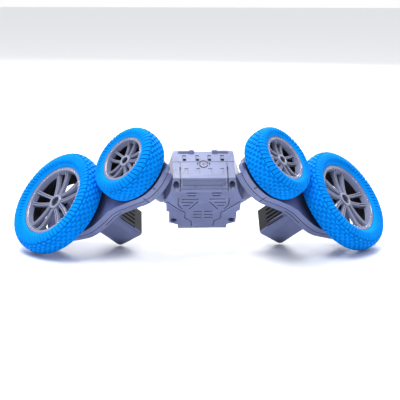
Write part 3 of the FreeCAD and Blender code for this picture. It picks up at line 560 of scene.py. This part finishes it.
def make_arm(side):
    matrix = ARMS[side]
    outer = Build()
    inner = Build()
    lug = Build()
    outer.box((-60, -60, -SEAM - 1), (120, 60, -SEAM + SEAM_GAP))
    inner.box((-60, -60, -SEAM - SEAM_GAP), (120, 60, -SEAM + 1))
    for sign in (-1, 1):
        outer.bar(polar(27.9, sign * 119), polar(30, sign * 119), 0.8, -28.2, -24.0)
        ends = polar(28.0, sign * 93), polar(30, sign * 93)
        outer.bar(*ends, 0.8, -31.5, -27.0)
        inner.bar(*ends, 0.8, -35.2, -29.5)
        for (w0, q0), (w1, q1) in zip(WEB_EDGE, WEB_EDGE[1:]):
            inner.bar((w0, sign * q0), (w1, sign * q1), 1.4, -34.0, -33.3)
    lug.lathe([(0.01, -30.1), (5.2, -30.1), (5.8, -29.3), (5.8, -27.0), (5.2, -25.7),
               (3.8, -25.0), (0.01, -24.9)], 40, (*polar(25.6, LUG_ANGLE), 0))
    mesh = shaped_copy(f"arm_outer_shell_{side}", outer, matrix, lug, 0.6)
    show(f"arm_front_half_{side}", mesh, f"arm_{side}", "arm_plastic",
         stands_for=[f"arm_outer_shell_{side}"])
    mesh = shaped_copy(f"arm_inner_shell_{side}", inner, matrix, soften=0.6)
    show(f"arm_back_half_{side}", mesh, f"arm_{side}", "arm_plastic",
         stands_for=[f"arm_inner_shell_{side}"])
    mesh = shaped_copy(f"motor_housing_{side}", None, matrix, soften=0.4)
    item = show(f"motor_cover_{side}", mesh, f"arm_{side}", "arm_plastic",
                stands_for=[f"motor_housing_{side}"])
    mesh.materials.append(RIB_BLACK)
    to_arm = matrix.inverted()
    for face in item.data.polygons:
        w, q, _ = to_arm @ face.center
        if w < RIBBED_FACE and q > RIBBED_LOW:
            face.material_index = 1


# ------------------------------------------------------------------ body

FRONT = -22.4
TOP = 46.8
HALF_GROOVES = [
    [(4.8, 28.3), (19.2, 28.3)], [(9.4, 23.7), (19.6, 23.7)], [(12.0, 19.4), (18.2, 19.4)],
    [(22.2, 30.3), (22.2, 20.4), (18.6, 14.4)], [(4.8, 24.8), (12.6, 14.4)],
    [(32.4, 25.2), (19.0, 11.4), (16.0, 10.2), (16.0, 1.6), (10.4, -3.1), (9.6, -10.4)],
    [(1.0, 10.8), (8.6, 10.8)], [(1.0, 6.6), (8.6, 6.6)], [(1.0, 2.2), (8.6, 2.2)],
]
GAP = [(-1.0, TOP + 1), (-13.2, TOP + 1), (-22.6, 38.6), (-20.9, 37.0), (-13.0, TOP - 2.2),
       (-1.0, TOP - 2.2)]
RIDGE = -13.7
SCREW_CENTER = (0, 2.2, 0)


def slope_box(start, end, deep, proud=1.0):
    """Outline on the door's slope, between two distances from the ridge."""
    part = math.sqrt(0.5)
    return [(RIDGE - (reach - depth) * part, TOP - (reach + depth) * part)
            for reach, depth in ((start, deep), (end, deep), (end, -proud), (start, -proud))]


def make_body():
    grooves = Build()
    tabs = Build()
    for sign in (-1, 1):
        for path in HALF_GROOVES:
            for (x0, m0), (x1, m1) in zip(path, path[1:]):
                grooves.bar((sign * x0, m0), (sign * x1, m1), 0.8, FRONT - 1, FRONT + 0.9, "y")
        x0, x1 = on_side(sign, 7.4, 14.3)
        grooves.box((x0, FRONT - 1, 32.7), (x1, FRONT + 1.3, 34.6))
        x0, x1 = on_side(sign, 6.8, 15.0)
        tabs.box((x0, FRONT - 0.9, 35.0), (x1, FRONT + 0.5, 36.8))
    mesh = shaped_copy("front_panel", grooves, added=tabs, soften=0.25)
    show("front_cover", mesh, "chassis", "panel_plastic", stands_for=["front_panel"])

    ring = Build()
    slots = Build()
    for build in (ring, slots):
        build.lathe([(3.5, TOP - 0.9), (4.2, TOP - 0.9), (4.2, TOP + 1), (3.5, TOP + 1)], 48,
                    SCREW_CENTER)
    for sign in (-1, 1):
        x0, x1 = on_side(sign, 4.9, 5.8)
        ring.box((x0, 0.7, TOP - 0.9), (x1, 3.8, TOP + 1))
        x0, x1 = on_side(sign, 21.2, 27.4)
        slots.box((x0, 4.6, TOP - 0.6), (x1, 5.1, TOP + 1))
        slots.loft(across_body(GAP, on_side(sign, 20.6, 21.2)))
        x0, x1 = on_side(sign, 20.0, 20.6)
        ring.box((x0, -17.0, 35.0), (x1, -1.0, TOP + 1))
    for x in (-16.7, -5.3, 5.3, 16.7):
        slots.box((x - 1.5, 5.6, TOP - 1.6), (x + 1.5, 8.4, TOP + 1))
        slots.box((x - 1.5, 8.2, TOP - 0.8), (x - 0.7, 12.4, TOP + 1))
        slots.box((x - 1.5, 11.6, TOP - 0.8), (x + 1.5, 12.4, TOP + 1))
        slots.box((x + 0.9, 10.4, TOP - 0.8), (x + 1.5, 12.4, TOP + 1))
    slots.loft(across_body(slope_box(8.9, 9.8, 1.8), (-20.6, 20.6)))
    mesh = shaped_copy("body_front_shell", slots, soften=0.3)
    show("body_case_front", mesh, "chassis", "body_plastic", stands_for=["body_front_shell"])

    ring.loft(across_body(slope_box(1.4, 6.6, 0.6), (-18.4, 18.4)))
    for x in (-15.2, -4.9, 5.5, 16.0):
        ring.box((x - 1.7, -3.4, TOP - 0.5), (x + 1.6, -2.7, TOP + 1))
        ring.box((x + 1.0, -9.0, TOP - 0.4), (x + 1.6, -3.4, TOP + 1))
    marks = Build()
    marks.loft(across_body(slope_box(7.0, 7.6, 0.4, 0.4), (-18.0, 18.0)))
    marks.lathe([(3.0, TOP - 0.5), (3.4, TOP - 0.5), (3.4, TOP + 0.2), (3.0, TOP + 0.2)], 48,
                SCREW_CENTER)
    mesh = shaped_copy("battery_door", ring, added=marks, soften=0.2)
    show("battery_lid", mesh, "door", "body_plastic", stands_for=["battery_door"])

    pit = Build()
    pit.lathe([(0.9, TOP - 0.6), (1.2, TOP - 0.6), (1.2, TOP + 1), (0.9, TOP + 1)], 32, SCREW_CENTER)
    mesh = shaped_copy("door_screw", pit, soften=0.1)
    show("door_screw_look", mesh, "door", "screw_steel", stands_for=["door_screw"],
         material=SHADED_STEEL)

    ribs = Build()
    for sign in (-1, 1):
        for inner, outer, rise in ((8.0, 22.0, 0.0), (8.2, 12.2, 1.2)):
            outline = [(14.2, 45.0), (14.2, 46.9), (15.6, 48.3 + rise), (16.9, 48.3 + rise),
                       (17.6, 45.5)]
            ribs.loft(across_body(outline, on_side(sign, inner, outer)))
    dip = Build()
    dip.loft(across_body([(15.6, 47.6), (23.4, 40.2), (26.0, 46.0), (18.0, 52.0)], (-7.8, 7.8)))
    mesh = shaped_copy("body_rear_shell", dip, added=ribs, soften=0.35)
    show("body_case_rear", mesh, "chassis", "body_plastic", stands_for=["body_rear_shell"])


# ------------------------------------------------------------------ the car

for row in frame["record"]["subparts"]:
    node = frame["nodes"][row["node"]]
    node.data.materials.clear()
    node.data.materials.append(MATERIALS[row["material_slot"]])

make_body()
for side in SIDES:
    make_arm(side)
    for size in TYRES:
        make_tyre(size, side)
        make_rim(size, side)
        make_wheel_screw(size, side)

# ------------------------------------------------------------------ studio

VIEW_ELEVATION = math.radians(13.0)
VIEW_YAW = math.radians(3.2355)
VIEW_ROLL = math.radians(0.469)
VIEW_OFFSET = Vector((0.00365, 0.03691, -0.86485))


def add_camera():
    """Camera that looks a little down at the car from its front."""
    rise = Matrix.Rotation(math.pi / 2 - VIEW_ELEVATION, 3, "X").transposed()
    yaw = Matrix.Rotation(VIEW_YAW, 3, "Y")
    roll = Matrix.Rotation(VIEW_ROLL, 3, "Z")
    to_camera = roll @ yaw @ rise
    data = bpy.data.cameras.new("camera")
    data.sensor_width = 36.0
    data.lens = 90.0
    data.clip_start = 0.05
    camera = bpy.data.objects.new("camera", data)
    place = SWIVELS_MIDDLE - to_camera.transposed() @ VIEW_OFFSET
    camera.matrix_world = Matrix.Translation(place) @ to_camera.transposed().to_4x4()
    bpy.context.scene.collection.objects.link(camera)
    bpy.context.scene.camera = camera


def add_floor():
    half = 6.0
    mesh = bpy.data.meshes.new("floor")
    mesh.from_pydata([(-half, -half, 0), (half, -half, 0), (half, half, 0), (-half, half, 0)],
                     [], [(0, 1, 2, 3)])
    floor = bpy.data.objects.new("floor", mesh)
    bpy.context.scene.collection.objects.link(floor)
    material = surface("floor_white", (0.82, 0.83, 0.85), 0.6, vary=0.01, wear=0.0, painted_shade=0.0,
                       depth=0.0)
    mesh.materials.append(material)


def add_light(name, place, size, power):
    """Square soft light aimed at the car."""
    data = bpy.data.lights.new(name, "AREA")
    data.size = size
    data.energy = power
    light = bpy.data.objects.new(name, data)
    light.location = place
    aim = Vector((0, 0, 0.05)) - Vector(place)
    light.rotation_euler = aim.to_track_quat("-Z", "Y").to_euler()
    bpy.context.scene.collection.objects.link(light)


def add_world(strength):
    """Sky that is brighter overhead and behind the car than in front of it."""
    world = bpy.data.worlds.new("studio")
    bpy.context.scene.world = world
    world.use_nodes = True
    tree = world.node_tree
    coordinates = tree.nodes.new("ShaderNodeTexCoord")
    split = tree.nodes.new("ShaderNodeSeparateXYZ")
    tree.links.new(coordinates.outputs["Generated"], split.inputs["Vector"])
    upward = add_range(tree, split.outputs["Z"], 0.0, 0.8, 0.0, 1.0)
    rearward = add_range(tree, split.outputs["Y"], -0.4, 0.6, 0.0, 1.0)
    total = tree.nodes.new("ShaderNodeMath")
    total.operation = "MAXIMUM"
    tree.links.new(upward, total.inputs[0])
    tree.links.new(rearward, total.inputs[1])
    tone = add_mix(tree, total.outputs[0], (0.16, 0.17, 0.24, 1), (1.0, 1.0, 1.0, 1))
    background = tree.nodes["Background"]
    tree.links.new(tone, background.inputs["Color"])
    background.inputs["Strength"].default_value = strength


add_camera()
add_floor()
add_world(1.0)
add_light("key", (-0.4, -0.1, 1.7), 0.9, 26)
add_light("rear", (0.3, 1.4, 0.9), 1.0, 24)
bpy.context.scene.view_settings.view_transform = "Standard"
